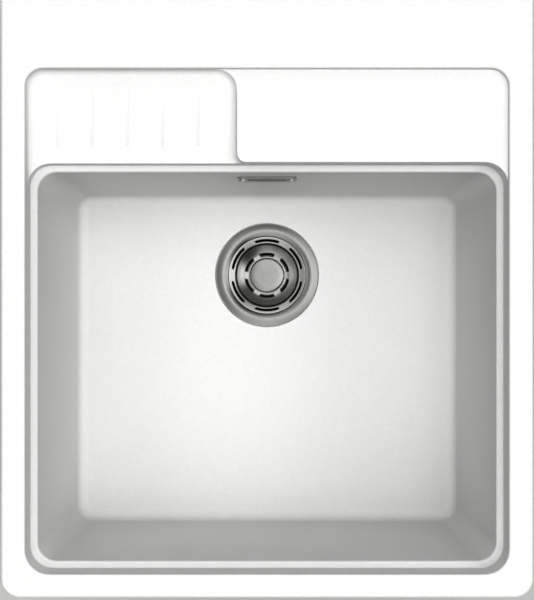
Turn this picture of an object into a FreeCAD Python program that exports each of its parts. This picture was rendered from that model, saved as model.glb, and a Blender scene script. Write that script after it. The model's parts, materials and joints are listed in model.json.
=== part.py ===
import FreeCAD, Part
import math
import os
from FreeCAD import Vector

# Kitchen sink with a drainboard moulded beside the bowl. All sizes are in millimetres.
# X runs to the right, +Y to the back (the tap side) and +Z up. Z = 0 is the worktop plane that the
# rim stands on, and X = Y = 0 is the middle of the rim's outline.

# Rim and tap deck
sink_width = 500.0
sink_length = 580.0
rim_height = 9.0
rim_corner_radius = 18.0
rim_edge = 1.8
side_border = 23.0
front_border = 22.5
tap_deck_length = 83.0
seat_width = 12.0
deck_relief = 1.0
tap_hole_radius = 17.5
tap_hole_skin = 3.0

# Shallow recess inside the rim, and the mould's draft on its walls
recess_draft = 1.8
recess_front_radius = 23.0
recess_back_radius = 17.0
recess_edge = 1.0
platform_drop = 4.0
platform_left_x = -28.4
platform_corner_radius = 9.0

# Drainboard: a sloping tray with raised ribs, open to the bowl at its front
drain_back_drop = 8.0
drain_front_drop = 12.0
drain_fillet = 6.0
drain_corner_radius = 19.0
drain_rib_count = 5
drain_rib_pitch = 33.3
drain_rib_first = 30.0
drain_rib_length = 56.8
drain_rib_gap = 11.7
drain_rib_root = 1.5
drain_rib_top_width = 1.2
drain_rib_flank = 60.0

# Ledge round the bowl, and the bowl
ledge_drop = 22.0
ledge_width = 6.7
ledge_back_radius = 21.5
bowl_length = 372.0
bowl_depth = 200.0
bowl_side_draft = 3.0
bowl_front_draft = 1.4
bowl_back_draft = 2.0
bowl_corner_radius = 18.0
bowl_floor_radius = 14.0
bowl_edge = 1.5

# Wall of the moulding
wall = 8.0
floor_wall = 9.0
shell_edge = 3.0
bowl_shell_edge = 13.0

# Sealing strip in the underside of the rim
strip_inset = 3.5
strip_width = 5.0
strip_depth = 2.0
strip_play = 0.2

# Worktop that the sink is let into, and the clips that hold it there
cutout_overlap = 10.0
worktop_thickness = 38.0
clip_edge_gap = 1.0
clip_width = 9.0
clip_web_reach = 6.0
clip_tail = 4.5
clip_tail_chamfer = 3.0
clip_steel = 1.5
clip_reach = 25.0
clip_lip = 3.0
clip_play = 0.2
side_clip_y = -75.0
end_clip_inset = 110.0
boss_drop = 24.0
boss_length = 22.0
boss_reach = 9.0
boss_neck_reach = 5.0
insert_side = 7.0
insert_length = 16.0
collar_side = 9.0
collar_height = 1.0
screw_radius = 2.0
screw_head_flats = 7.0
screw_head_height = 2.4
screw_tip_gap = 2.0
press_play = 0.05
running_play = 0.1

# Basket-strainer waste in the bowl floor
waste_setback = 94.3
steel = 1.0
flange_radius = 57.0
flange_seat_play = 1.0
flange_seat_depth = 3.0
flange_gasket_height = 1.5
flange_shoulder_radius = 48.5
cup_radius = 41.0
cup_cone_depth = 9.0
cup_depth = 34.5
cup_drain_radius = 21.0
cup_hub_radius = 10.0
cup_spoke = 5.0
cup_spokes = 4
waste_hole_play = 3.0
waste_hole_edge = 4.0
gasket_play = 1.0
pad_radius = 66.0
pad_height = 2.0
waste_gasket_height = 2.0
waste_rim_radius = 62.0
waste_rim_height = 4.0
waste_wall = 3.0
pot_play = 5.5
pot_depth = 57.0
outlet_radius = 23.9
outlet_bore_radius = 19.5
outlet_depth = 92.0
hub_radius = 11.0
hub_top_depth = 40.0
hub_height = 14.0
hub_vanes = 3
nut_flats = 13.0
nut_height = 8.0
clamp_radius = 4.0
clamp_play = 0.6
clamp_head_radius = 7.0
clamp_head_height = 2.9
clamp_length = 17.0
clamp_bore_depth = 14.0

# Strainer basket that lifts out
basket_radius = 42.4
basket_play = 0.3
basket_step_radius = 34.6
basket_step_height = 5.5
basket_depth = 18.0
basket_floor_radius = 27.5
slot_count = 6
slot_width = 2.8
slot_span = 39.0
slot_chords = 4
outer_slot_radius = 38.8
inner_slot_radius = 23.8
knob_radius = 19.4
knob_neck_radius = 8.0
knob_top_depth = 2.6
knob_thickness = 5.0
stem_radius = 4.0
stem_reach = 8.0
stem_shoulder_radius = 8.0
disc_radius = 24.0
disc_height = 2.0
pin_radius = 2.5
pin_reach = 8.0
stopper_radius = 26.5
stopper_gap = 0.3
seal_height = 3.6
seal_inner_play = 2.0

# Overflow in the back wall of the bowl
overflow_drop = 65.0
cover_width = 58.0
cover_height = 30.0
cover_proud = 1.5
cover_corner = 5.0
overflow_width = 39.0
overflow_height = 9.0
overflow_screw_x = 24.0
overflow_screw_radius = 2.0
overflow_head_radius = 3.6
overflow_head_height = 0.8
overflow_screw_length = 20.0
overflow_gasket_height = 2.0
housing_flange = 4.0
housing_wall = 2.5
housing_boss_radius = 4.5
housing_boss_length = 12.0
housing_height = 22.0

# Pipe from the overflow to the waste
pipe_radius = 12.5
pipe_wall = 2.0
pipe_setback = 15.6
pipe_bend_cut = 18.0
spigot_radius = 16.0
socket_play = 0.1
socket_gap = 0.5
socket_depth = 12.0
spigot_length = 24.0
side_inlet_depth = 34.0
side_inlet_reach = 78.0
pipe_nut_flats = 36.0
pipe_nut_cover = 10.0
pipe_nut_length = 22.0
pipe_nut_sides = 10
pipe_nut_play = 0.3

# Tap deck's underside
deck_rib_x = (-60.0, 60.0)
deck_rib_width = 5.0


def flat_face(points):
    return Part.Face(Part.makePolygon(points + points[:1]))


def grown(rect, by):
    x0, x1, y0, y1 = rect
    return (x0 - by, x1 + by, y0 - by, y1 + by)


def solid_between(upper, lower):
    """Solid with flat sides between two polygons of as many points."""
    count = len(upper)
    faces = [flat_face(upper), flat_face(lower)]
    for i in range(count):
        j = (i + 1) % count
        faces.append(flat_face([upper[i], upper[j], lower[j], lower[i]]))
    solid = Part.makeSolid(Part.makeShell(faces))
    if solid.Volume < 0:
        solid.reverse()
    return solid


def edges_where(shape, wanted):
    """Edges whose bounding box passes the test."""
    return [edge for edge in shape.Edges if wanted(edge.BoundBox)]


def leaning_tub(top, z_top, bottom, z_bottom, radius):
    """Block between two rectangles (x0, x1, y0, y1) with its four leaning upright edges rounded."""
    rings = []
    for (x0, x1, y0, y1), z in ((top, z_top), (bottom, z_bottom)):
        rings.append([Vector(x0, y0, z), Vector(x1, y0, z), Vector(x1, y1, z), Vector(x0, y1, z)])
    block = solid_between(rings[0], rings[1])
    tall = 0.9 * (z_top - z_bottom)
    return block.makeFillet(radius, edges_where(block, lambda b: b.ZLength > tall))


def even_tub(rect_of, z_top, z_bottom, front_radius, back_radius, grow=0.0):
    """Block with the same draft all round, so that its corners are upright cones."""
    x0, x1, y0, y1 = grown(rect_of(z_top), grow)
    inset = grown(rect_of(z_bottom), grow)[0] - x0
    front = front_radius + grow
    back = back_radius + grow
    corners = [(x0 + front, y0 + front, front), (x1 - front, y0 + front, front),
               (x1 - back, y1 - back, back), (x0 + back, y1 - back, back)]
    outward = [Vector(0, -1, 0), Vector(1, 0, 0), Vector(0, 1, 0), Vector(-1, 0, 0)]
    solids = []
    for i in range(4):
        ax, ay, a_radius = corners[i]
        bx, by, b_radius = corners[(i + 1) % 4]
        rings = []
        for z, less in ((z_top, 0.0), (z_bottom, inset)):
            a = Vector(ax, ay, z)
            b = Vector(bx, by, z)
            rings.append([a, b, b + outward[i] * (b_radius - less), a + outward[i] * (a_radius - less)])
        solids.append(solid_between(rings[0], rings[1]))
        solids.append(Part.makeCone(a_radius - inset, a_radius, z_top - z_bottom, Vector(ax, ay, z_bottom)))
    core = solid_between([Vector(x, y, z_top) for x, y, _ in corners],
                         [Vector(x, y, z_bottom) for x, y, _ in corners])
    return core.fuse(solids).removeSplitter().Solids[0]


# Levels and outlines that the sub-parts share
deck_z = rim_height
above_deck = deck_z + 1.0
platform_z = deck_z - platform_drop
ledge_z = deck_z - ledge_drop
floor_z = deck_z - bowl_depth
recess_slope = math.tan(math.radians(recess_draft))
ledge_inset = recess_slope * ledge_drop
back_y = sink_length / 2
front_y = -back_y
side_x = sink_width / 2
flange_seat_radius = flange_radius + flange_seat_play
waste_hole_radius = cup_radius + steel + waste_hole_play


def recess_rect(z):
    """Outline of the recess at a level; its walls close in as they go down."""
    inset = recess_slope * (deck_z - z)
    return (-side_x + side_border + inset, side_x - side_border - inset,
            front_y + front_border + inset, back_y - tap_deck_length - inset)


bowl_front_y = front_y + front_border + ledge_inset + ledge_width
bowl_back_y = bowl_front_y + bowl_length
bowl_half_width = side_x - side_border - ledge_inset - ledge_width
waste_y = bowl_back_y - waste_setback


def ledge_rect(z):
    """Outline of the sunk part of the recess that holds the ledge and the bowl."""
    x0, x1, y0, _ = recess_rect(z)
    return (x0, x1, y0, bowl_back_y + ledge_width + recess_slope * (z - ledge_z))


def bowl_rect(z):
    """Outline of the bowl at a level."""
    depth = ledge_z - z
    side = math.tan(math.radians(bowl_side_draft)) * depth
    front = math.tan(math.radians(bowl_front_draft)) * depth
    back = math.tan(math.radians(bowl_back_draft)) * depth
    return (-bowl_half_width + side, bowl_half_width - side, bowl_front_y + front, bowl_back_y - back)


def platform_cutter():
    """The raised platform beside the drainboard, as far as the tray's rounded back corner."""
    recess = even_tub(recess_rect, above_deck, platform_z, recess_front_radius, recess_back_radius)
    left = platform_left_x - drain_corner_radius
    front = ledge_rect(deck_z)[3] - ledge_back_radius - wall
    return recess.common(Part.makeBox(sink_width, sink_length, 2 * rim_height,
                                      Vector(left, front, platform_z)))


def ledge_cutter():
    return even_tub(ledge_rect, above_deck, ledge_z, recess_front_radius, ledge_back_radius)


def bowl_cutter():
    """The bowl, leaning in a little differently at each side, with a coved foot."""
    above = ledge_z + 1.0
    cutter = leaning_tub(bowl_rect(above), above, bowl_rect(floor_z), floor_z, bowl_corner_radius)
    return cutter.makeFillet(bowl_floor_radius, foot_edges(cutter, floor_z))


def drain_fall():
    """Fall of the drainboard floor per millimetre towards the front."""
    x0, x1, y0, y1 = recess_rect(deck_z)
    return (drain_front_drop - drain_back_drop) / (y1 - ledge_rect(platform_z)[3])


def drain_level(y):
    """Level of the drainboard floor at a place from front to back."""
    return deck_z - drain_back_drop - drain_fall() * (recess_rect(deck_z)[3] - y)


def below_drain(drop):
    """Everything that lies more than the drop below the drainboard floor."""
    front = -sink_length
    back = sink_length
    bottom = deck_z - bowl_depth
    corners = [Vector(-side_x, front, drain_level(front) - drop),
               Vector(-side_x, back, drain_level(back) - drop),
               Vector(-side_x, back, bottom), Vector(-side_x, front, bottom)]
    return flat_face(corners).extrude(Vector(sink_width, 0, 0))


def drain_plan(margin, side):
    """Plan of the drainboard: past the recess by the margin, and past its right side by the side."""
    x0, x1, y0, y1 = recess_rect(deck_z)
    right = platform_left_x + side
    r = platform_corner_radius
    edge = ledge_rect(platform_z)[3]
    front = edge - 1.5 * ledge_back_radius
    half = r * (1 - math.sqrt(0.5))
    bend = Part.Arc(Vector(right, edge + r, 0), Vector(right + half, edge + half, 0),
                    Vector(right + r, edge, 0)).toShape()
    corners = [Vector(right + r, edge, 0), Vector(right + r, front, 0), Vector(x0 - margin, front, 0),
               Vector(x0 - margin, y1 + margin, 0), Vector(right, y1 + margin, 0),
               Vector(right, edge + r, 0)]
    lines = [Part.makeLine(a, b) for a, b in zip(corners, corners[1:])]
    return Part.Face(Part.Wire([bend] + lines))


def drain_cutter():
    """The drainboard tray: the recess carried down to a sloping floor, with a coved foot."""
    deep = deck_z - 2 * drain_front_drop
    recess = even_tub(recess_rect, above_deck, deep, recess_front_radius, recess_back_radius)
    plan = drain_plan(wall, 0.0)
    plan.translate(Vector(0, 0, deep))
    tray = recess.common(plan.extrude(Vector(0, 0, above_deck - deep)))
    tray = tray.cut(below_drain(0.0)).Solids[0]
    back = recess_rect(deck_z)[3]
    corner = edges_where(tray, lambda b: b.XMin > platform_left_x - 1 and b.XMax < platform_left_x + 1
                         and b.YMin > back - 2 and b.ZLength > drain_back_drop / 2)
    tray = tray.makeFillet(drain_corner_radius, corner)
    front = tray.BoundBox.YMin
    top = drain_level(back) + 0.1
    foot = edges_where(tray, lambda b: b.ZMax < top and b.YMax > front + 1
                       and b.XMin < platform_left_x + platform_corner_radius - 0.1)
    return tray.makeFillet(drain_fillet, foot)


def rib_outline(x, y_front, y_back, half, z):
    """Long eight-sided outline, with its ends cut back at the corners."""
    cut = half * 0.6
    return [Vector(x - half + cut, y_front, z), Vector(x + half - cut, y_front, z),
            Vector(x + half, y_front + cut, z), Vector(x + half, y_back - cut, z),
            Vector(x + half - cut, y_back, z), Vector(x - half + cut, y_back, z),
            Vector(x - half, y_back - cut, z), Vector(x - half, y_front + cut, z)]


def drain_ribs():
    """Wedge ribs with level tops that rise out of the falling floor towards the front."""
    front = ledge_rect(platform_z)[3] + drain_rib_gap
    back = front + drain_rib_length
    top = drain_level(back)
    foot = drain_level(front) - drain_rib_root
    lean = math.tan(math.radians(drain_rib_flank))
    toe = lean * (top - drain_level(front))
    spread = lean * (top - foot)
    half = drain_rib_top_width / 2
    ribs = []
    for i in range(drain_rib_count):
        x = recess_rect(deck_z)[0] + drain_rib_first + i * drain_rib_pitch
        rib = solid_between(rib_outline(x, front + toe, back, half, top),
                            rib_outline(x, front + toe - spread, back + spread, half + spread, foot))
        ribs.append(rib.cut(below_drain(drain_rib_root)))
    return ribs


def rim_slab():
    slab = Part.makeBox(sink_width, sink_length, rim_height, Vector(-side_x, front_y, 0))
    slab = slab.makeFillet(rim_corner_radius, edges_where(slab, lambda b: b.ZLength > rim_height / 2))
    return slab.makeChamfer(rim_edge, edges_where(slab, lambda b: b.ZMin > deck_z - 0.01))


def foot_edges(block, level):
    """Edges of a block's underside, which lies at the level."""
    return edges_where(block, lambda b: b.ZMax < level + 0.01)


def moulded_shell():
    """The moulding before its holes, bosses and ribs."""
    middle = rim_height / 2
    recess = even_tub(recess_rect, middle, platform_z - wall, recess_front_radius,
                      recess_back_radius, wall)
    recess = recess.makeChamfer(shell_edge, foot_edges(recess, platform_z - wall))
    tray_z = drain_level(front_y / 2) - wall
    tray = even_tub(recess_rect, middle, tray_z, recess_front_radius, recess_back_radius, wall)
    plan = drain_plan(2 * wall, wall)
    plan.translate(Vector(0, 0, tray_z))
    tray = tray.common(plan.extrude(Vector(0, 0, middle - tray_z))).cut(below_drain(wall))
    ledge = even_tub(ledge_rect, middle, ledge_z - wall, recess_front_radius, ledge_back_radius, wall)
    ledge = ledge.makeChamfer(shell_edge, foot_edges(ledge, ledge_z - wall))
    bowl_top = ledge_z - wall / 2
    bowl_bottom = floor_z - floor_wall
    bowl = leaning_tub(grown(bowl_rect(bowl_top), wall), bowl_top, grown(bowl_rect(bowl_bottom), wall),
                       bowl_bottom, bowl_corner_radius + wall)
    bowl = bowl.makeChamfer(bowl_shell_edge, foot_edges(bowl, bowl_bottom))
    shell = rim_slab().fuse([recess, tray, ledge, bowl])
    shell = shell.cut([platform_cutter(), ledge_cutter(), drain_cutter(), bowl_cutter()])
    shell = shell.removeSplitter()
    rim = edges_where(shell, lambda b: b.ZMin > deck_z - 0.01 and b.YMin > front_y + front_border / 2
                      and b.YMax < back_y - tap_deck_length / 2
                      and max(-b.XMin, b.XMax) < side_x - side_border / 2)
    shell = shell.makeChamfer(recess_edge, rim)
    mouth = edges_where(shell, lambda b: abs(b.ZMin - ledge_z) < 0.01 and b.ZLength < 0.01
                        and b.YMin > bowl_front_y - 0.1 and b.YMax < bowl_back_y + 0.1
                        and max(-b.XMin, b.XMax) < bowl_half_width + 0.1)
    return shell.makeChamfer(bowl_edge, mouth)


def turned(points, x=0.0, y=0.0):
    """Solid turned about an upright axis from a closed outline of (radius, level) points."""
    corners = [Vector(r, 0, z) for r, z in points]
    solid = flat_face(corners).revolve(Vector(0, 0, 0), Vector(0, 0, 1), 360)
    solid.translate(Vector(x, y, 0))
    return solid


def sheet_outline(points, thickness):
    """Closed outline of bent sheet: the points run along one side, and the other lies to their right."""
    steps = []
    for (ax, ay), (bx, by) in zip(points, points[1:]):
        length = math.hypot(bx - ax, by - ay)
        steps.append(((bx - ax) / length, (by - ay) / length))
    other = []
    for i, (x, y) in enumerate(points):
        before = steps[max(i - 1, 0)]
        after = steps[min(i, len(steps) - 1)]
        nx = before[1] + after[1]
        ny = -before[0] - after[0]
        size = thickness / (nx * after[1] - ny * after[0])
        other.append((x + nx * size, y + ny * size))
    return points + other[::-1]


def ring_slot(radius, angle, z, height):
    """Slot bent round the Z axis in a few chords, as a solid to cut with."""
    inner = radius - slot_width / 2
    outer = radius + slot_width / 2
    turns = [math.radians(angle + slot_span * (i / slot_chords - 0.5)) for i in range(slot_chords + 1)]
    points = [Vector(outer * math.cos(turn), outer * math.sin(turn), z) for turn in turns]
    points += [Vector(inner * math.cos(turn), inner * math.sin(turn), z) for turn in turns[::-1]]
    return flat_face(points).extrude(Vector(0, 0, height))


def rounded_plate(width, length, height, radius, z):
    """Plate centred on the Z axis with round corners."""
    plate = Part.makeBox(width, length, height, Vector(-width / 2, -length / 2, z))
    return plate.makeFillet(radius, edges_where(plate, lambda b: b.ZLength > height / 2))


def regular_prism(sides, flats, z, height):
    """Upright prism with the distance across flats given."""
    radius = flats / 2 / math.cos(math.pi / sides)
    turn = 2 * math.pi / sides
    points = [Vector(radius * math.cos(i * turn), radius * math.sin(i * turn), z) for i in range(sides)]
    return flat_face(points).extrude(Vector(0, 0, height))


# Sink body

def strip_ring(width, play, height):
    """Ring that follows the rim: the groove, or with play the strip that lies in it."""
    outer = strip_inset + play
    inner = strip_inset + width - play
    ring = rounded_plate(sink_width - 2 * outer, sink_length - 2 * outer, height,
                         rim_corner_radius - outer, 0.0)
    return ring.cut(rounded_plate(sink_width - 2 * inner, sink_length - 2 * inner, height,
                                  rim_corner_radius - inner, 0.0))


def clip_places():
    """Name, screw axis and outward angle in degrees of each clip."""
    side = side_x - cutout_overlap - clip_edge_gap - clip_web_reach
    end = back_y - cutout_overlap - clip_edge_gap - clip_web_reach
    end_x = side_x - end_clip_inset
    places = [("left", -side, side_clip_y, 180.0), ("right", side, side_clip_y, 0.0)]
    for name, x in (("left", -end_x), ("right", end_x)):
        places.append(("front_" + name, x, -end, 270.0))
        places.append(("back_" + name, x, end, 90.0))
    return places


def placed(shape, x, y, angle):
    """Turn a shape about the Z axis and move it to a clip's place."""
    moved = shape.copy()
    moved.Placement = FreeCAD.Placement(Vector(x, y, 0), FreeCAD.Rotation(Vector(0, 0, 1), angle))
    return moved


def clip_boss(neck):
    """Block under the rim that takes a clip's insert; its upper part reaches inwards by the neck."""
    outer = clip_web_reach - clip_edge_gap / 2
    step = ledge_z - wall / 2
    foot = Part.makeBox(outer + boss_reach, boss_length, step + boss_drop,
                        Vector(-boss_reach, -boss_length / 2, -boss_drop))
    upper = Part.makeBox(outer + neck, boss_length, deck_relief - step,
                         Vector(-neck, -boss_length / 2, step))
    boss = foot.fuse(upper).removeSplitter()
    upright = edges_where(boss, lambda b: b.ZLength > boss_drop / 2 and b.XMin > 0)
    return boss.makeChamfer(outer / 2, upright)


def clip_bosses():
    """The bosses; those at the back stand clear of the recess."""
    bosses = []
    for name, x, y, angle in clip_places():
        neck = boss_reach if name.startswith("back") else boss_neck_reach
        bosses.append(placed(clip_boss(neck), x, y, angle))
    return bosses


def square_peg(side, z, height):
    return Part.makeBox(side, side, height, Vector(-side / 2, -side / 2, z))


def deck_rib(x):
    """Upright rib under the tap deck, from the back of the recess to the seat."""
    front = recess_rect(0.0)[3] + wall / 2
    back = back_y - seat_width
    corners = [Vector(x, front, deck_relief), Vector(x, front, platform_z - wall),
               Vector(x, back, -1.0), Vector(x, back, deck_relief)]
    rib = flat_face(corners).extrude(Vector(deck_rib_width, 0, 0))
    rib.translate(Vector(-deck_rib_width / 2, 0, 0))
    return rib


def overflow_frame():
    """Place on the back wall of the bowl: local Y points out through the wall, local Z up along it."""
    z = deck_z - overflow_drop
    return FreeCAD.Placement(Vector(0, bowl_rect(z)[3], z),
                             FreeCAD.Rotation(Vector(1, 0, 0), -bowl_back_draft))


def on_wall(shape):
    moved = shape.copy()
    moved.Placement = overflow_frame()
    return moved


def wall_plate(width, height, corner, y, thickness):
    """Plate that lies along the wall, from y for its thickness."""
    plate = Part.makeBox(width, thickness, height, Vector(-width / 2, y, -height / 2))
    return plate.makeFillet(corner, edges_where(plate, lambda b: b.YLength > 0.9 * thickness
                                                and b.XLength < 0.1 and b.ZLength < 0.1))


def wall_bore(x, radius, y, length):
    return Part.makeCylinder(radius, length, Vector(x, y, 0), Vector(0, 1, 0))


def screw_bores(radius, y, length):
    return [wall_bore(side * overflow_screw_x, radius, y, length) for side in (-1, 1)]


def sink_body():
    body = moulded_shell().fuse(drain_ribs())
    # thinner deck, with a blind hole that is knocked through for a tap
    relief_front = recess_rect(0.0)[3] + wall
    relief_back = back_y - seat_width
    relief = Part.makeBox(sink_width - 2 * seat_width, relief_back - relief_front, deck_relief,
                          Vector(seat_width - side_x, relief_front, 0))
    tap = Part.makeCylinder(tap_hole_radius, rim_height - tap_hole_skin,
                            Vector(0, back_y - tap_deck_length / 2, 0))
    body = body.cut([relief, tap, strip_ring(strip_width, 0.0, strip_depth)])
    # bosses for the clips, ribs, and a pad under the waste
    bosses = clip_bosses()
    ribs = [deck_rib(x) for x in deck_rib_x]
    under = floor_z - flange_seat_depth - wall
    pad = Part.makeCylinder(pad_radius, pad_height + floor_wall / 2, Vector(0, waste_y, under))
    body = body.fuse(bosses + ribs + [pad])
    socket = square_peg(insert_side, -boss_drop, insert_length + screw_tip_gap)
    holes = [placed(socket, x, y, angle) for _, x, y, angle in clip_places()]
    seat_z = floor_z - flange_seat_depth
    r = waste_hole_radius
    seat = [(0, above_deck), (flange_seat_radius, above_deck), (flange_seat_radius, seat_z),
            (r + waste_hole_edge, seat_z), (r, seat_z - waste_hole_edge), (r, under - 1.0), (0, under - 1.0)]
    holes.append(turned(seat, 0.0, waste_y))
    through = 2 * wall
    slot = wall_plate(overflow_width, overflow_height, overflow_height / 2.5, -wall / 2, through)
    bores = screw_bores(overflow_screw_radius + running_play, -wall / 2, through)
    holes += [on_wall(hole) for hole in [slot] + bores]
    return body.cut(holes).removeSplitter().Solids[0]


def rim_seal():
    return strip_ring(strip_width, strip_play, strip_depth)


# Mounting clips

def clip_insert():
    """Square plastic plug with a collar, pressed into a boss."""
    plug = square_peg(insert_side - 2 * press_play, -boss_drop, insert_length)
    collar = square_peg(collar_side, -boss_drop - collar_height, collar_height)
    bore = Part.makeCylinder(screw_radius + press_play, 2 * boss_drop, Vector(0, 0, -2 * boss_drop))
    return plug.fuse(collar).cut(bore)


def bracket_top():
    return -boss_drop - collar_height - clip_play


def clip_bracket():
    """Bent steel strip: a slotted flange on the screw, a web down the cut-out, a foot and a lip."""
    flange_z = bracket_top() - clip_steel
    web = clip_web_reach - clip_steel
    foot_z = -worktop_thickness - clip_lip - clip_steel
    tip = clip_web_reach + clip_reach
    path = [(-clip_tail, flange_z), (web, flange_z), (web, foot_z), (tip, foot_z),
            (tip + clip_steel, foot_z + clip_steel + clip_lip)]
    outline = [Vector(x, -clip_width / 2, z) for x, z in sheet_outline(path[::-1], clip_steel)]
    strip = flat_face(outline).extrude(Vector(0, clip_width, 0))
    tail = edges_where(strip, lambda b: b.XMax < 0.01 - clip_tail and b.ZLength > clip_steel / 2)
    strip = strip.makeChamfer(clip_tail_chamfer, tail)
    radius = screw_radius + running_play
    slot = Part.makeCylinder(radius, 3 * clip_steel, Vector(0, 0, flange_z - clip_steel))
    mouth = Part.makeBox(clip_tail + 1.0, 2 * radius, 3 * clip_steel,
                         Vector(-clip_tail - 1.0, -radius, flange_z - clip_steel))
    return strip.cut(slot.fuse(mouth))


def clip_screw():
    """Six-sided screw up through the bracket into the insert."""
    seat = bracket_top() - clip_steel - clip_play
    head = regular_prism(6, screw_head_flats, seat - screw_head_height, screw_head_height)
    top = insert_length - boss_drop - screw_tip_gap
    return head.fuse(Part.makeCylinder(screw_radius, top - seat, Vector(0, 0, seat)))


# Basket-strainer waste, with depths taken down from the bowl floor

def at_depth(points):
    """Depths below the bowl floor, as heights in the part."""
    return [(r, floor_z - depth) for r, depth in points]


def at_waste(shape):
    """Move a shape from the Z axis to the waste's axis."""
    moved = shape.copy()
    moved.translate(Vector(0, waste_y, 0))
    return moved


def ring(inner, outer, top, bottom):
    """Flat ring round the waste's axis between two depths."""
    return turned(at_depth([(inner, top), (outer, top), (outer, bottom), (inner, bottom)]), 0.0, waste_y)


def pressed(path):
    """Pressed steel shell whose top side is a path of (radius, depth) from the axis outwards."""
    outline = sheet_outline([(r, -depth) for r, depth in path], steel)
    return turned([(r, floor_z + z) for r, z in outline])


def cup_drains():
    """The openings in the foot of the cup, between the spokes of its hub."""
    height = 4 * steel
    z = floor_z - cup_depth - height / 2
    drains = Part.makeCylinder(cup_drain_radius, height, Vector(0, 0, z))
    drains = drains.cut(Part.makeCylinder(cup_hub_radius, height, Vector(0, 0, z)))
    for i in range(cup_spokes):
        spoke = Part.makeBox(2 * cup_drain_radius, cup_spoke, height, Vector(0, -cup_spoke / 2, z))
        spoke.rotate(Vector(0, 0, 0), Vector(0, 0, 1), (i + 0.5) * 360 / cup_spokes)
        drains = drains.cut(spoke)
    return drains


def flange_top():
    return flange_seat_depth - flange_gasket_height - steel


def waste_flange():
    """Pressed flange that dips to a cup with drain openings round a hub."""
    path = [(0.0, cup_depth), (cup_radius, cup_depth), (cup_radius, cup_cone_depth),
            (flange_shoulder_radius, flange_top()), (flange_radius, flange_top())]
    cup = pressed(path)
    hole = Part.makeCylinder(clamp_radius + running_play, 4 * steel,
                             Vector(0, 0, floor_z - cup_depth - 2 * steel))
    return at_waste(cup.cut([hole, cup_drains()]))


def basket_rim_depth():
    """Depth of the basket's flat shoulder, whose edge lies just clear of the flange's cone."""
    fall = (cup_cone_depth - flange_top()) / (flange_shoulder_radius - cup_radius)
    cone = flange_top() + (flange_shoulder_radius - basket_radius) * fall
    return cone - steel - basket_play * math.hypot(1.0, fall)


def basket():
    """Pressed strainer: a slotted shoulder, a step, a cone and a slotted floor."""
    rim = basket_rim_depth()
    path = [(0.0, basket_depth), (basket_floor_radius, basket_depth),
            (basket_step_radius, rim + basket_step_height),
            (basket_step_radius, rim), (basket_radius, rim)]
    shell = pressed(path)
    height = basket_depth + 4 * steel
    cuts = [Part.makeCylinder(stem_radius + running_play, height, Vector(0, 0, floor_z - height))]
    for i in range(slot_count):
        angle = (i + 0.5) * 360 / slot_count
        for radius in (outer_slot_radius, inner_slot_radius):
            cuts.append(ring_slot(radius, angle, floor_z - height, height))
    return at_waste(shell.cut(cuts))


def basket_knob():
    """Mushroom knob on the basket, hollow below for the stem."""
    bore = stem_radius + press_play
    top = basket_depth - stem_reach - press_play
    return turned(at_depth([(0.0, knob_top_depth), (knob_radius, knob_top_depth),
                            (knob_radius, knob_top_depth + knob_thickness),
                            (knob_neck_radius, knob_top_depth + knob_thickness),
                            (knob_neck_radius, basket_depth), (bore, basket_depth), (bore, top),
                            (0.0, top)]), 0.0, waste_y)


def seal_bottom():
    return cup_depth - stopper_gap


def basket_stem():
    """Stem with the disc that carries the stopper seal, and a pin that slides in the clamp screw."""
    under = basket_depth + steel
    disc = seal_bottom() - seal_height
    tip = cup_depth - clamp_head_height + pin_reach
    return turned(at_depth([(0.0, basket_depth - stem_reach), (stem_radius, basket_depth - stem_reach),
                            (stem_radius, under), (stem_shoulder_radius, under),
                            (stem_shoulder_radius, disc - disc_height),
                            (disc_radius, disc - disc_height), (disc_radius, disc), (pin_radius, disc),
                            (pin_radius, tip), (0.0, tip)]), 0.0, waste_y)


def stopper_seal():
    return ring(clamp_head_radius + seal_inner_play, stopper_radius, seal_bottom() - seal_height,
                seal_bottom())


def flange_gasket():
    inner = waste_hole_radius + waste_hole_edge + gasket_play
    return ring(inner, flange_radius, flange_seat_depth - flange_gasket_height, flange_seat_depth)


def pad_depth():
    """Depth of the underside of the pad that the waste is clamped to."""
    return flange_seat_depth + wall


def waste_gasket():
    return ring(waste_hole_radius + gasket_play, waste_rim_radius, pad_depth(),
                pad_depth() + waste_gasket_height)


def clamp_screw():
    """Hollow-headed screw from the cup's hub down to the nut."""
    head = cup_depth - clamp_head_height
    tip = cup_depth + clamp_length
    bore = pin_radius + running_play
    return turned(at_depth([(bore, head), (clamp_head_radius, head), (clamp_head_radius, cup_depth),
                            (clamp_radius, cup_depth), (clamp_radius, tip), (0.0, tip),
                            (0.0, head + clamp_bore_depth), (bore, head + clamp_bore_depth)]),
                  0.0, waste_y)


def clamp_nut():
    """Six-sided brass nut let into the hub of the waste body."""
    z = floor_z - hub_top_depth - nut_height
    nut = regular_prism(6, nut_flats, z, nut_height)
    bore = Part.makeCylinder(clamp_radius + press_play, nut_height, Vector(0, 0, z))
    return at_waste(nut.cut(bore))


def pipe_z():
    return floor_z - side_inlet_depth


def wall_back():
    """Distance from the inside of the bowl's back wall to its outside."""
    return wall * math.cos(math.radians(bowl_back_draft))


def pipe_y():
    """Place of the upright pipe, behind the overflow housing's flange."""
    flange = wall_back() + overflow_gasket_height + housing_flange
    return bowl_rect(deck_z - overflow_drop)[3] + flange + pipe_setback


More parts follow.
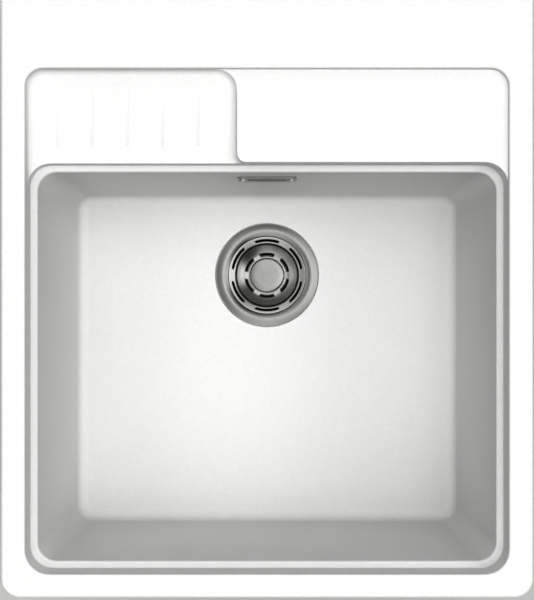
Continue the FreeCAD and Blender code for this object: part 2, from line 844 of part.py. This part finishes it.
def waste_body():
    """Moulded pot with a threaded outlet, a hub on vanes and a side inlet."""
    pot = waste_hole_radius + pot_play
    inner = pot - waste_wall
    top = pad_depth() + waste_gasket_height
    foot = pot_depth - waste_wall
    outer = turned(at_depth([(0.0, top), (waste_rim_radius, top),
                             (waste_rim_radius, top + waste_rim_height), (pot, top + waste_rim_height),
                             (pot, pot_depth), (outlet_radius, pot_depth), (outlet_radius, outlet_depth),
                             (0.0, outlet_depth)]))
    hollow = turned(at_depth([(0.0, top - 1.0), (inner, top - 1.0), (inner, foot),
                              (outlet_bore_radius, foot), (outlet_bore_radius, outlet_depth + 1.0),
                              (0.0, outlet_depth + 1.0)]))
    inlet = Part.makeCylinder(spigot_radius, side_inlet_reach, Vector(0, 0, pipe_z()), Vector(0, 1, 0))
    mouth = side_inlet_reach - socket_depth
    bore = Part.makeCylinder(pipe_radius - pipe_wall, side_inlet_reach, Vector(0, 0, pipe_z()),
                             Vector(0, 1, 0))
    socket = Part.makeCylinder(pipe_radius + socket_play, socket_depth + 1.0,
                               Vector(0, mouth, pipe_z()), Vector(0, 1, 0))
    pot_shell = outer.fuse(inlet).cut([hollow, bore, socket])
    hub_z = floor_z - hub_top_depth - hub_height
    hub = Part.makeCylinder(hub_radius, hub_height, Vector(0, 0, hub_z))
    vanes = []
    for i in range(hub_vanes):
        vane = Part.makeBox(inner + waste_wall / 2, waste_wall, hub_height - waste_wall,
                            Vector(0, -waste_wall / 2, hub_z))
        vane.rotate(Vector(0, 0, 0), Vector(0, 0, 1), i * 360 / hub_vanes - 90)
        vanes.append(vane.common(outer))
    pocket = regular_prism(6, nut_flats + 2 * press_play, hub_z + hub_height - nut_height, nut_height)
    clear = Part.makeCylinder(clamp_radius + clamp_play, hub_height, Vector(0, 0, hub_z))
    body = pot_shell.fuse([hub] + vanes).cut([pocket, clear])
    return at_waste(body)


# Overflow

def wall_slot(y, thickness):
    """The overflow's slot, as a solid to cut with."""
    return wall_plate(overflow_width, overflow_height, overflow_height / 2.5, y, thickness)


def overflow_cover():
    """Metal plate over the overflow hole, with a slot and two screw holes."""
    plate = wall_plate(cover_width, cover_height, cover_corner, -cover_proud, cover_proud)
    bores = screw_bores(overflow_screw_radius + running_play, -2 * cover_proud, 3 * cover_proud)
    return on_wall(plate.cut([wall_slot(-2 * cover_proud, 3 * cover_proud)] + bores))


def overflow_screws():
    screws = []
    for side in (-1, 1):
        x = side * overflow_screw_x
        head = wall_bore(x, overflow_head_radius, -cover_proud - overflow_head_height,
                         overflow_head_height)
        shank = wall_bore(x, overflow_screw_radius, -cover_proud, overflow_screw_length)
        screws.append(on_wall(head.fuse(shank)))
    return Part.makeCompound(screws)


def overflow_gasket():
    y = wall_back()
    plate = wall_plate(cover_width, cover_height, cover_corner, y, overflow_gasket_height)
    return on_wall(plate.cut([wall_slot(0.0, 2 * y)]
                             + screw_bores(overflow_screw_radius + running_play, 0.0, 2 * y)))


def overflow_housing():
    """Moulded box behind the wall that turns the overflow down into the pipe."""
    y = wall_back() + overflow_gasket_height
    z = deck_z - overflow_drop
    plate = wall_plate(cover_width, cover_height, cover_corner, y, housing_flange)
    bosses = screw_bores(housing_boss_radius, y, housing_boss_length)
    width = overflow_width + 2 * housing_wall
    front = bowl_rect(z)[3] + y + housing_flange / 2
    back = pipe_y() + spigot_radius
    box = Part.makeBox(width, back - front, housing_height,
                       Vector(-width / 2, front, z - housing_height / 2))
    foot = spigot_foot_z()
    spigot = Part.makeCylinder(spigot_radius, z - foot, Vector(0, pipe_y(), foot))
    housing = on_wall(plate.fuse(bosses)).fuse([box, spigot])
    room = Part.makeBox(overflow_width, back - front - housing_wall - housing_flange,
                        housing_height - 2 * housing_wall,
                        Vector(-overflow_width / 2, front + housing_flange,
                               z - housing_height / 2 + housing_wall))
    bore = Part.makeCylinder(pipe_radius - pipe_wall, z - foot, Vector(0, pipe_y(), foot))
    socket = Part.makeCylinder(pipe_radius + socket_play, socket_depth, Vector(0, pipe_y(), foot))
    pilots = screw_bores(overflow_screw_radius + running_play, 0.0, y + 2 * housing_boss_length)
    holes = [on_wall(hole) for hole in [wall_slot(0.0, y + 2 * housing_flange)] + pilots]
    return housing.cut([room, bore, socket] + holes).removeSplitter().Solids[0]


def spigot_foot_z():
    """Level of the mouth of the housing's spigot."""
    return deck_z - overflow_drop - housing_height / 2 - spigot_length


def limb(start, end, radius):
    """Cylinder between two points, run on at both ends to be cut to a mitre."""
    along = (end - start).normalize()
    return Part.makeCylinder(radius, (end - start).Length + 2 * radius, start - along * radius, along)


def mitre_cut(point, before, after):
    """Block on the far side of the plane that halves the bend at a point."""
    normal = (after - point).normalize() - (before - point).normalize()
    reach = 6 * pipe_radius
    block = Part.makeBox(2 * reach, 2 * reach, reach, Vector(-reach, -reach, 0))
    block.Placement = FreeCAD.Placement(point, FreeCAD.Rotation(Vector(0, 0, 1), normal))
    return block


def bent_rod(path, radius, longer):
    """Rod along a path, mitred at its bends, and made longer at both ends."""
    first = (path[0] - path[1]).normalize() * longer
    last = (path[-1] - path[-2]).normalize() * longer
    points = [path[0] + first] + path[1:-1] + [path[-1] + last]
    rod = []
    for i in range(len(points) - 1):
        piece = limb(points[i], points[i + 1], radius)
        ahead = points[i + 2] if i + 2 < len(points) else points[i + 1] * 2 - points[i]
        behind = points[i - 1] if i else points[0] * 2 - points[1]
        piece = piece.cut([mitre_cut(points[i + 1], points[i], ahead),
                           mitre_cut(points[i], points[i + 1], behind)])
        rod.append(piece)
    return rod[0].fuse(rod[1:])


def overflow_pipe():
    """Pipe with a bend in two mitres, from the housing's socket down and forward to the waste."""
    top = spigot_foot_z() + socket_depth - socket_gap
    front = waste_y + side_inlet_reach - socket_depth + socket_gap
    path = [Vector(0, pipe_y(), top), Vector(0, pipe_y(), pipe_z() + pipe_bend_cut),
            Vector(0, pipe_y() - pipe_bend_cut, pipe_z()), Vector(0, front, pipe_z())]
    return bent_rod(path, pipe_radius, 0.0).cut(bent_rod(path, pipe_radius - pipe_wall, 1.0)).Solids[0]


def pipe_nut():
    """Sleeve nut round a spigot; it stands on z = 0 with its open end up."""
    nut = regular_prism(pipe_nut_sides, pipe_nut_flats, 0.0, pipe_nut_length)
    shoulder = pipe_nut_length - pipe_nut_cover - pipe_nut_play
    thread = Part.makeCylinder(spigot_radius + running_play, pipe_nut_length, Vector(0, 0, shoulder))
    return nut.cut([thread, Part.makeCylinder(pipe_radius + pipe_nut_play, pipe_nut_length)])


def upper_pipe_nut():
    nut = pipe_nut()
    nut.translate(Vector(0, pipe_y(), spigot_foot_z() + pipe_nut_cover - pipe_nut_length))
    return nut


def lower_pipe_nut():
    nut = pipe_nut()
    y = waste_y + side_inlet_reach - pipe_nut_cover + pipe_nut_length
    nut.Placement = FreeCAD.Placement(Vector(0, y, pipe_z()), FreeCAD.Rotation(Vector(1, 0, 0), 90))
    return nut


# The pieces, one file each

def clip_group(shape):
    """One copy of a shape at each clip's place."""
    return Part.makeCompound([placed(shape, x, y, angle) for _, x, y, angle in clip_places()])


pieces = {
    "sink_body": sink_body(),
    "rim_seal": rim_seal(),
    "clip_inserts": clip_group(clip_insert()),
    "clip_screws": clip_group(clip_screw()),
    "waste_flange": waste_flange(),
    "flange_gasket": flange_gasket(),
    "waste_gasket": waste_gasket(),
    "waste_body": waste_body(),
    "clamp_nut": clamp_nut(),
    "clamp_screw": clamp_screw(),
    "basket": basket(),
    "basket_knob": basket_knob(),
    "basket_stem": basket_stem(),
    "stopper_seal": stopper_seal(),
    "overflow_cover": overflow_cover(),
    "overflow_screws": overflow_screws(),
    "overflow_gasket": overflow_gasket(),
    "overflow_housing": overflow_housing(),
    "overflow_pipe": overflow_pipe(),
    "upper_pipe_nut": upper_pipe_nut(),
    "lower_pipe_nut": lower_pipe_nut(),
}
# the clips are drawn swung along the rim, as they pass through the cut-out
for clip_name, clip_x, clip_y, clip_angle in clip_places():
    pieces["clip_" + clip_name] = placed(clip_bracket(), clip_x, clip_y, clip_angle + 90.0)

os.makedirs("parts", exist_ok=True)
for piece_name, piece in pieces.items():
    piece.exportStep("parts/" + piece_name + ".step")
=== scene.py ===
import json
import math
import bmesh
import bpy
from mathutils import Matrix, Vector


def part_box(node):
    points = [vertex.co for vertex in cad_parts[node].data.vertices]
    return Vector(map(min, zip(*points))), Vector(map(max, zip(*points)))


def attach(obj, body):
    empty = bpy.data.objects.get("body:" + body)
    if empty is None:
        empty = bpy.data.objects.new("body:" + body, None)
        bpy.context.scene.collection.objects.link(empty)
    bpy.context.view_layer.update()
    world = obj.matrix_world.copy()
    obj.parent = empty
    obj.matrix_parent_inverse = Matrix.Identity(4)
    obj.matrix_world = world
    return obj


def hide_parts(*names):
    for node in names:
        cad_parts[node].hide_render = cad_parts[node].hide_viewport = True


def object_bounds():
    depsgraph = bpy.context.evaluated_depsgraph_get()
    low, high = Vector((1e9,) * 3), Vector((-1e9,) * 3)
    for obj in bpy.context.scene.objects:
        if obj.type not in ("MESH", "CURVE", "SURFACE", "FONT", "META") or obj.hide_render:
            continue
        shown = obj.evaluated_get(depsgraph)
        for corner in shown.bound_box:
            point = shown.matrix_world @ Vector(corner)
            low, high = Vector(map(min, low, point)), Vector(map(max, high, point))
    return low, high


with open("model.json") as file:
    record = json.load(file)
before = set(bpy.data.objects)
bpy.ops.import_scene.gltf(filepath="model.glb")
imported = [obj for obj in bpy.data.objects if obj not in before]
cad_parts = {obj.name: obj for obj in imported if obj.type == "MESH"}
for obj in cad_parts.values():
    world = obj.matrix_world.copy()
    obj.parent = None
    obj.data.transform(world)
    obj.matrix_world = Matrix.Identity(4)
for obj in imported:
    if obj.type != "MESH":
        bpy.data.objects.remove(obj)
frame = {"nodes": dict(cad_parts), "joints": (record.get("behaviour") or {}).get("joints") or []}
nodes = frame["nodes"]
scene = bpy.context.scene
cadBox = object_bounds()
mm = 0.001

flangeLow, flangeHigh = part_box("waste_flange")
wasteCentre = Vector((0, (flangeLow.y + flangeHigh.y) / 2, 0))
flangeSinkMm = 0.5  # how far the top of the flange lies below the bowl floor
bowlFloor = flangeHigh.z + flangeSinkMm * mm


# ---- materials

def linear(hexColour):
    parts = [int(hexColour[i:i + 2], 16) / 255 for i in (1, 3, 5)]
    return [p / 12.92 if p <= 0.04045 else ((p + 0.055) / 1.055) ** 2.4 for p in parts] + [1.0]


def addNode(tree, kind, inputs={}, **settings):
    node = tree.nodes.new("ShaderNode" + kind)
    for key, value in settings.items():
        setattr(node, key, value)
    for key, value in inputs.items():
        if isinstance(value, bpy.types.NodeSocket):
            tree.links.new(value, node.inputs[key])
        else:
            node.inputs[key].default_value = value
    return node


def newMaterial(name, roughness, metallic=0.0, ior=None):
    material = bpy.data.materials.new(name)
    material.use_nodes = True
    shader = material.node_tree.nodes["Principled BSDF"]
    shader.inputs["Roughness"].default_value = roughness
    shader.inputs["Metallic"].default_value = metallic
    if ior:
        shader.inputs["IOR"].default_value = ior
    return material, material.node_tree, shader


def noiseFactor(tree, grainMm, detail):
    # soft noise on the piece's own coordinates, with features of about grainMm
    place = addNode(tree, "TexCoord")
    noise = addNode(tree, "TexNoise", {"Vector": place.outputs["Object"], "Detail": detail,
                                       "Scale": 1 / (grainMm * mm)})
    return noise.outputs["Fac"]


def twoTones(tree, factor, dark, light):
    blend = addNode(tree, "Mix", data_type="RGBA")
    tree.links.new(factor, blend.inputs[0])
    blend.inputs[6].default_value = linear(dark)
    blend.inputs[7].default_value = linear(light)
    return blend.outputs[2]


def roughBetween(tree, shader, factor, middle, spread):
    rough = addNode(tree, "MapRange", {"Value": factor, "To Min": middle - spread,
                                       "To Max": middle + spread})
    tree.links.new(rough.outputs["Result"], shader.inputs["Roughness"])


def fineBump(tree, shader, height, strength, bumpMm):
    bump = addNode(tree, "Bump", {"Height": height, "Strength": strength, "Distance": bumpMm * mm})
    tree.links.new(bump.outputs["Normal"], shader.inputs["Normal"])


def compositeMaterial():
    # quartz composite: white quartz grit in acrylic, cast in a mould; matt, faintly mottled and grainy,
    # with painted shade toning its steep walls greyer
    values = {"light": "#ebebea", "dark": "#e1e2e1", "mottleMm": 3.0, "gritMm": 1.2,
              "bumpMm": 0.05, "bumpStrength": 0.5, "roughness": 0.5, "roughSpread": 0.08,
              "wallShare": 0.84, "wallFrom": 0.35, "wallTo": 0.8}
    material, tree, shader = newMaterial("quartzComposite", values["roughness"], ior=1.5)
    mottle = noiseFactor(tree, values["mottleMm"], 3.0)
    grit = noiseFactor(tree, values["gritMm"], 2.0)
    tone = twoTones(tree, mottle, values["dark"], values["light"])
    # painted shade: steep walls are toned greyer than level faces, shade painted into the colour for the
    # light that steep walls miss; the real material is the same all over
    facing = addNode(tree, "SeparateXYZ", {"Vector": addNode(tree, "NewGeometry").outputs["Normal"]})
    paintedWallShadeFactor = addNode(tree, "MapRange", {"Value": facing.outputs["Z"], "To Min": values["wallShare"],
                                         "From Min": values["wallFrom"], "From Max": values["wallTo"]})
    shaded = addNode(tree, "VectorMath", {0: tone, "Scale": paintedWallShadeFactor.outputs["Result"]}, operation="SCALE")
    tree.links.new(shaded.outputs["Vector"], shader.inputs["Base Color"])
    roughBetween(tree, shader, grit, values["roughness"], values["roughSpread"])
    fineBump(tree, shader, grit, values["bumpStrength"], values["bumpMm"])
    return material


def steelMaterial(name, light, dull, roughness, ringed):
    # stainless sheet, satin finished: soft broad highlights; where it is ringed, the polish runs round the
    # waste's axis, so the highlights stretch across the rings into a fan
    values = {"roughSpread": 0.04, "ringMm": 0.9, "cloudMm": 16.67,
              "bumpMm": 0.004, "bumpStrength": 0.3}
    material, tree, shader = newMaterial(name, roughness, 1.0)
    place = addNode(tree, "TexCoord")
    centre = addNode(tree, "Mapping", {"Vector": place.outputs["Object"], "Location": -wasteCentre})
    split = addNode(tree, "SeparateXYZ", {"Vector": centre.outputs["Vector"]})
    flat = addNode(tree, "CombineXYZ", {"X": split.outputs["X"], "Y": split.outputs["Y"]})
    radius = addNode(tree, "VectorMath", {0: flat.outputs["Vector"]}, operation="LENGTH")
    rings = addNode(tree, "TexNoise", {"W": radius.outputs["Value"], "Detail": 3.0,
                                       "Scale": 1 / (values["ringMm"] * mm)}, noise_dimensions="1D")
    cloud = noiseFactor(tree, values["cloudMm"], 3.0)
    tree.links.new(twoTones(tree, cloud, dull, light), shader.inputs["Base Color"])
    roughBetween(tree, shader, rings.outputs["Fac"], roughness, values["roughSpread"])
    fineBump(tree, shader, rings.outputs["Fac"], values["bumpStrength"], values["bumpMm"])
    if ringed:
        shader.inputs["Anisotropic"].default_value = ringed
        outwards = addNode(tree, "VectorMath", {0: flat.outputs["Vector"]}, operation="NORMALIZE")
        tree.links.new(outwards.outputs["Vector"], shader.inputs["Tangent"])
    return material


def grainyMaterial(name, light, dark, roughness, metallic, patchMm, bumpMm, ior=None):
    # one build for the plain finishes: two close tones in soft patches over a fine moulded or plated grain
    values = {"grainsPerPatch": 8, "bumpStrength": 0.4}
    material, tree, shader = newMaterial(name, roughness, metallic, ior)
    patch = noiseFactor(tree, patchMm, 4.0)
    grain = noiseFactor(tree, patchMm / values["grainsPerPatch"], 2.0)
    tree.links.new(twoTones(tree, patch, dark, light), shader.inputs["Base Color"])
    fineBump(tree, shader, grain, values["bumpStrength"], bumpMm)
    return material


composite = compositeMaterial()
# stainless sheet in three tones, darkest on the flange and knob, then the basket, then the overflow cover;
# the tone differences are painted light and shade, lit and shaded copies of one steel set to how bright
# each part shows
pressedSteel = steelMaterial("satinStainless", "#80807e", "#767674", 0.25, 0.3)
turnedSteel = steelMaterial("ringPolishedStainless", "#929290", "#888886", 0.27, 0.5)
plateSteel = steelMaterial("satinStainlessPlate", "#a6a8a5", "#9a9c99", 0.3, 0.0)
# zinc-plated mild steel: cool grey with a cloudy plating
zincSteel = grainyMaterial("zincPlatedSteel", "#c2c5c9", "#a4a8ad", 0.34, 1.0, 9.0, 0.02)
# stainless wire for the small screws: bright and even
screwSteel = grainyMaterial("stainlessScrew", "#c8c8c5", "#b4b4b1", 0.26, 1.0, 6.0, 0.01)
# turned brass: warm yellow, slightly dulled
brass = grainyMaterial("turnedBrass", "#c9a35a", "#a98342", 0.3, 1.0, 6.0, 0.01)
# polypropylene, moulded white: waxy half-gloss with a soft grain
whitePlastic = grainyMaterial("mouldedPolypropylene", "#e9e9e5", "#dededa", 0.38, 0.0, 12.0, 0.03, 1.49)
# acetal, moulded black
blackPlastic = grainyMaterial("mouldedAcetal", "#2b2b2c", "#1f1f20", 0.42, 0.0, 8.0, 0.03, 1.48)
# synthetic rubber, moulded: near black and matt
rubber = grainyMaterial("mouldedRubber", "#242424", "#1a1a1a", 0.62, 0.0, 5.0, 0.05, 1.52)
# closed-cell foam strip: dark grey with open pores
foam = grainyMaterial("closedCellFoam", "#4b4b4c", "#333334", 0.85, 0.0, 2.5, 0.3, 1.5)
# polyethylene foam washer, skived from sheet: pale and matt
paleFoam = grainyMaterial("polyethyleneFoam", "#dcdcd8", "#cfcfcb", 0.8, 0.0, 2.5, 0.1, 1.5)
print("materials made")


# ---- building pieces

def addPiece(name, bm, material, body, replaced, smooth=35):
    bmesh.ops.remove_doubles(bm, verts=bm.verts, dist=1e-6)
    bmesh.ops.recalc_face_normals(bm, faces=bm.faces)
    mesh = bpy.data.meshes.new(name)
    bm.to_mesh(mesh)
    bm.free()
    mesh.shade_smooth()
    mesh.set_sharp_from_angle(angle=math.radians(smooth))
    mesh.materials.append(material)
    piece = bpy.data.objects.new(name, mesh)
    scene.collection.objects.link(piece)
    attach(piece, body)
    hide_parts(replaced)
    return piece


def spinProfile(bm, points, steps):
    # points are (radius, depth under the bowl floor) in millimetres, turned about the waste's axis
    verts = [bm.verts.new((r * mm, wasteCentre.y, bowlFloor - depth * mm)) for r, depth in points]
    edges = [bm.edges.new(pair) for pair in zip(verts, verts[1:])]
    bmesh.ops.spin(bm, geom=verts + edges, cent=wasteCentre, axis=(0, 0, 1), angle=2 * math.pi,
                   steps=steps, use_merge=True)
    bmesh.ops.remove_doubles(bm, verts=bm.verts, dist=1e-6)


def pressedSheet(piece, smoothing, steelMm):
    # the turned profile, smoothed and given the sheet's thickness below it
    smooth = piece.modifiers.new("pressedCurve", "SUBSURF")
    smooth.levels = smooth.render_levels = smoothing
    sheet = piece.modifiers.new("sheet", "SOLIDIFY")
    sheet.thickness = steelMm * mm
    sheet.offset = 1.0


# narrow is the cosine of the angle under which two sharp edges count as pinched, and clearWidths says how
# many widths of the round a bevelled edge keeps from such a point
roundValues = {"segments": 2, "sharpDegrees": 32, "smoothDegrees": 30, "narrow": 0.7, "clearWidths": 4,
               "mergeMm": 0.002, "flatDegrees": 0.2}


def pinchedPoints(bm, sharp):
    # where a sharp edge ends, or two of them run together at a narrow angle as one wall dies out in another
    points = []
    for vert in bm.verts:
        away = [(e.other_vert(vert).co - vert.co).normalized() for e in vert.link_edges if e in sharp]
        narrow = any(a.dot(b) > roundValues["narrow"] for i, a in enumerate(away) for b in away[:i])
        if narrow or len(away) == 1:
            points.append(vert.co.copy())
    return points


def softCopy(name, node, material, body, width, lowest=-1.1):
    # a merged copy of the CAD node with its sharp edges broken by a small round, left off near pinched
    # points and on the edges of faces whose normal's Z is under lowest; at -1.1 none is left off for that
    values = roundValues
    bm = bmesh.new()
    bm.from_mesh(nodes[node].data)
    bmesh.ops.remove_doubles(bm, verts=bm.verts, dist=values["mergeMm"] * mm)
    bmesh.ops.dissolve_limit(bm, angle_limit=math.radians(values["flatDegrees"]),
                             verts=bm.verts, edges=bm.edges)
    weight = bm.edges.layers.float.new("bevel_weight_edge")
    sharp = {e for e in bm.edges if e.calc_face_angle(0) > math.radians(values["sharpDegrees"])}
    pinches = pinchedPoints(bm, sharp)
    for edge in sharp:
        middle = (edge.verts[0].co + edge.verts[1].co) / 2
        near = min([(middle - point).length for point in pinches], default=1.0)
        facing = min(face.normal.z for face in edge.link_faces)
        edge[weight] = 1.0 if near > values["clearWidths"] * width * mm and facing > lowest else 0.0
    piece = addPiece(name, bm, material, body, node, values["smoothDegrees"])
    bevel = piece.modifiers.new("edgeRound", "BEVEL")
    bevel.width = width * mm
    bevel.segments = values["segments"]
    bevel.limit_method = "WEIGHT"
    bevel.use_clamp_overlap = False
    normals = piece.modifiers.new("evenNormals", "WEIGHTED_NORMAL")
    normals.keep_sharp = True


# sink moulding; the edges of its underside stay plain
sinkValues = {"edgeMm": 0.6, "lowestRound": -0.3}
softCopy("sinkMoulding", "sink_body", composite, "sink", sinkValues["edgeMm"],
         sinkValues["lowestRound"])
print("sink moulding made")


# waste flange
flangeValues = {"steelMm": 0.9, "steps": 48,
                "top": [(57.4, 1.8), (57.3, 1.6), (56.8, 1.45), (54.8, 1.2), (52.4, 0.9), (50.4, 0.72),
                        (48.9, 0.78), (47.4, 1.0), (46.0, 1.32), (44.8, 1.68), (43.9, 2.0), (43.6, 2.14),
                        (43.45, 3.1), (43.2, 8.5), (42.2, 12.0), (41.5, 15.0), (41.2, 20.0),
                        (41.1, 30.0), (40.6, 33.2), (38.6, 34.5), (30.0, 34.5), (21.0, 34.5)],
                "hub": 10.0, "bore": 4.1, "spokes": 4, "spokeDegrees": 24, "smoothing": 2}


def wasteFlange():
    values = flangeValues
    bm = bmesh.new()
    spinProfile(bm, values["top"], values["steps"])
    # the foot runs in to the hub and its bore
    footRadius = values["top"][-1][0]
    foot = [e for e in bm.edges
            if e.is_boundary and (e.verts[0].co - wasteCentre).xy.length < (footRadius + 1) * mm]
    for radius in (values["hub"], values["bore"]):
        made = bmesh.ops.extrude_edge_only(bm, edges=foot)["geom"]
        ring = [v for v in made if isinstance(v, bmesh.types.BMVert)]
        scale = radius * mm / (ring[0].co - wasteCentre).xy.length
        bmesh.ops.scale(bm, vec=(scale, scale, 1), verts=ring,
                        space=Matrix.Translation(-wasteCentre))
        foot = [e for e in made if isinstance(e, bmesh.types.BMEdge) and e.is_boundary]
    # drain openings round the hub: the faces between the spokes are left out
    pitch = 360 / values["spokes"]
    gaps = []
    for face in bm.faces:
        middle = face.calc_center_median() - wasteCentre
        turn = math.degrees(math.atan2(middle.y, middle.x)) % pitch - pitch / 2
        inBand = values["hub"] * mm < middle.xy.length < footRadius * mm
        if inBand and abs(turn) > values["spokeDegrees"] / 2:
            gaps.append(face)
    bmesh.ops.delete(bm, geom=gaps, context="FACES")
    piece = addPiece("wasteFlange", bm, pressedSteel, "sink", "waste_flange")
    pressedSheet(piece, values["smoothing"], values["steelMm"])


wasteFlange()
print("waste flange made")


# strainer basket
basketValues = {"steelMm": 0.9, "steps": 120, "slotSteps": 13, "slots": 6, "smoothing": 1,
                "slotBands": ((37.8, 40.0), (23.0, 24.6)),
                "top": [(43.3, 2.8), (43.25, 2.3), (42.9, 2.2), (41.8, 2.4), (40.0, 2.75), (37.8, 3.2),
                        (36.4, 3.5), (35.6, 3.85), (35.1, 4.7), (34.8, 6.0), (34.3, 6.8), (32.6, 7.6),
                        (30.6, 8.6), (28.6, 9.5), (26.6, 10.3), (24.6, 10.9), (23.0, 11.2), (18.0, 11.4),
                        (8.1, 11.4)]}


def strainerBasket():
    values = basketValues
    bm = bmesh.new()
    spinProfile(bm, values["top"], values["steps"])
    # the slots are the faces left out of the two slotted bands; the smoothing rounds their ends
    step = 360 / values["steps"]
    bmesh.ops.rotate(bm, cent=wasteCentre, verts=bm.verts,
                     matrix=Matrix.Rotation(math.radians(step / 2), 3, "Z"))
    pitch = 360 / values["slots"]
    openings = []
    for face in bm.faces:
        middle = face.calc_center_median() - wasteCentre
        turn = math.degrees(math.atan2(middle.y, middle.x)) % pitch - pitch / 2
        inBand = any(low * mm < middle.xy.length < high * mm for low, high in values["slotBands"])
        if inBand and abs(turn) < values["slotSteps"] * step / 2:
            openings.append(face)
    bmesh.ops.delete(bm, geom=openings, context="FACES")
    piece = addPiece("strainerBasket", bm, turnedSteel, "strainer", "basket")
    pressedSheet(piece, values["smoothing"], values["steelMm"])


strainerBasket()
print("strainer basket made")


# knob on the basket
knobValues = {"steps": 96,
              "outline": [(0.0, 2.6), (12.0, 2.62), (17.6, 2.7), (18.6, 2.9), (19.2, 3.4), (19.4, 4.2),
                          (19.4, 5.6), (19.0, 6.1), (17.6, 6.3), (10.6, 6.6), (8.8, 7.4), (8.2, 9.0),
                          (8.0, 12.0), (8.0, 18.8), (4.05, 18.8), (4.05, 10.0), (0.0, 10.0)]}


def basketKnob():
    bm = bmesh.new()
    spinProfile(bm, knobValues["outline"], knobValues["steps"])
    addPiece("basketKnob", bm, pressedSteel, "strainer", "basket_knob")


basketKnob()
print("knob made")


# pieces whose CAD shape is right, with their edges broken by a round of so many millimetres
clipEdgeMm = 0.3
edgeValues = {
    "overflow_cover": ("overflowCover", plateSteel, "sink", "bright_steel", 0.35),
    "overflow_housing": ("overflowHousing", whitePlastic, "sink", "white_plastic", 0.5),
    "overflow_pipe": ("overflowPipe", whitePlastic, "sink", "white_plastic", 0.4),
    "upper_pipe_nut": ("upperPipeNut", whitePlastic, "sink", "white_plastic", 0.8),
    "lower_pipe_nut": ("lowerPipeNut", whitePlastic, "sink", "white_plastic", 0.8),
    "waste_body": ("wasteBody", whitePlastic, "sink", "white_plastic", 0.6),
    "basket_stem": ("basketStem", blackPlastic, "strainer", "black_plastic", 0.4),
    "stopper_seal": ("stopperSeal", rubber, "strainer", "rubber_seal", 0.8),
    "clamp_screw": ("clampScrew", screwSteel, "sink", "screw_steel", 0.4),
    "clip_inserts": ("clipInserts", blackPlastic, "sink", "black_plastic", 0.3),
    "clip_screws": ("clipScrews", screwSteel, "sink", "screw_steel", 0.25),
}
for node, (name, material, body, slot, width) in edgeValues.items():
    softCopy(name, node, material, body, width)
for joint in frame["joints"]:
    if joint["type"] == "hinge":
        side = joint["child"].replace("_clip", "")
        softCopy("clip_" + side + "_strip", "clip_" + side, zincSteel, joint["child"],
                 clipEdgeMm)
print("fittings made")


# CAD nodes that stay, with their finishes
kept = {"rim_seal": foam, "flange_gasket": paleFoam, "waste_gasket": rubber, "overflow_gasket": rubber,
        "clamp_nut": brass, "overflow_screws": screwSteel}
for node, material in kept.items():
    nodes[node].data.materials.clear()
    nodes[node].data.materials.append(material)
print("finishes set")


# ---- studio

# matt pale paper, a little darker than the sink so that its outline shows
floorValues = {"halfSize": 6.0, "dropMm": 0.5, "light": "#c4c4c3", "dark": "#c1c1c0", "roughness": 0.8,
               "patchMm": 60.0, "bumpMm": 0.05, "ior": 1.45}


def studioFloor():
    values = floorValues
    bm = bmesh.new()
    bmesh.ops.create_grid(bm, x_segments=1, y_segments=1, size=values["halfSize"])
    bmesh.ops.translate(bm, verts=bm.verts, vec=(0, 0, cadBox[0].z - values["dropMm"] * mm))
    mesh = bpy.data.meshes.new("studioFloor")
    bm.to_mesh(mesh)
    bm.free()
    floor = bpy.data.objects.new("studioFloor", mesh)
    scene.collection.objects.link(floor)
    paper = grainyMaterial("paperBackdrop", values["light"], values["dark"], values["roughness"], 0.0,
                           values["patchMm"], values["bumpMm"], values["ior"])
    mesh.materials.append(paper)


def softPanel(tree, direction, tilt, turn, spread, strength):
    # a round soft panel far away: brightest at its middle, fading out at its edge; angles in degrees
    tilt, turn = math.radians(tilt), math.radians(turn)
    aim = (math.sin(tilt) * math.cos(turn), math.sin(tilt) * math.sin(turn), math.cos(tilt))
    near = addNode(tree, "VectorMath", {0: direction, 1: aim}, operation="DOT_PRODUCT")
    fade = addNode(tree, "MapRange", {"Value": near.outputs["Value"], "To Max": strength,
                                      "From Min": math.cos(math.radians(spread)), "From Max": 1.0},
                   interpolation_type="SMOOTHSTEP")
    return fade.outputs["Result"]


# each panel: degrees from straight overhead, degrees round from the sink's right side, degrees of reach,
# and strength
lightValues = {"fill": 0.1, "gamma": 0.7,
               "panels": {"overhead": (0, 0, 20, 2.1), "overheadRight": (18, 0, 18, 3.0),
                          "overheadBack": (18, 90, 18, 2.2), "overheadFront": (18, 270, 18, 1.45),
                          "leftBack": (36, 135, 22, 1.35), "left": (38, 180, 20, 2.3),
                          "leftFront": (36, 225, 22, 1.45), "front": (36, 270, 22, 1.6),
                          "right": (48, 0, 24, 4.25), "back": (56, 90, 26, 1.35),
                          "lowBack": (78, 90, 28, 1.05)}}


def studioWorld():
    world = bpy.data.worlds.new("studioWorld")
    world.use_nodes = True
    tree = world.node_tree
    direction = addNode(tree, "TexCoord").outputs["Object"]
    total = lightValues["fill"]
    for panel in lightValues["panels"].values():
        light = softPanel(tree, direction, *panel)
        total = addNode(tree, "Math", {0: total, 1: light}, operation="ADD").outputs["Value"]
    background = tree.nodes["Background"]
    background.inputs["Color"].default_value = linear("#ffffff")
    tree.links.new(total, background.inputs["Strength"])
    return world


studioFloor()
scene.world = studioWorld()
scene.view_settings.view_transform = "Standard"
scene.view_settings.look = "None"
scene.view_settings.gamma = lightValues["gamma"]

# straight down, as photographed
cameraValues = {"height": 1.044, "back": -0.0103, "lens": 66.26, "sensor": 36.0, "nearest": 0.05}
cameraData = bpy.data.cameras.new("camera")
cameraData.lens = cameraValues["lens"]
cameraData.sensor_width = cameraValues["sensor"]
cameraData.clip_start = cameraValues["nearest"]
camera = bpy.data.objects.new("camera", cameraData)
camera.location = (0, cameraValues["back"], cameraValues["height"])
scene.collection.objects.link(camera)
scene.camera = camera
print("studio set")
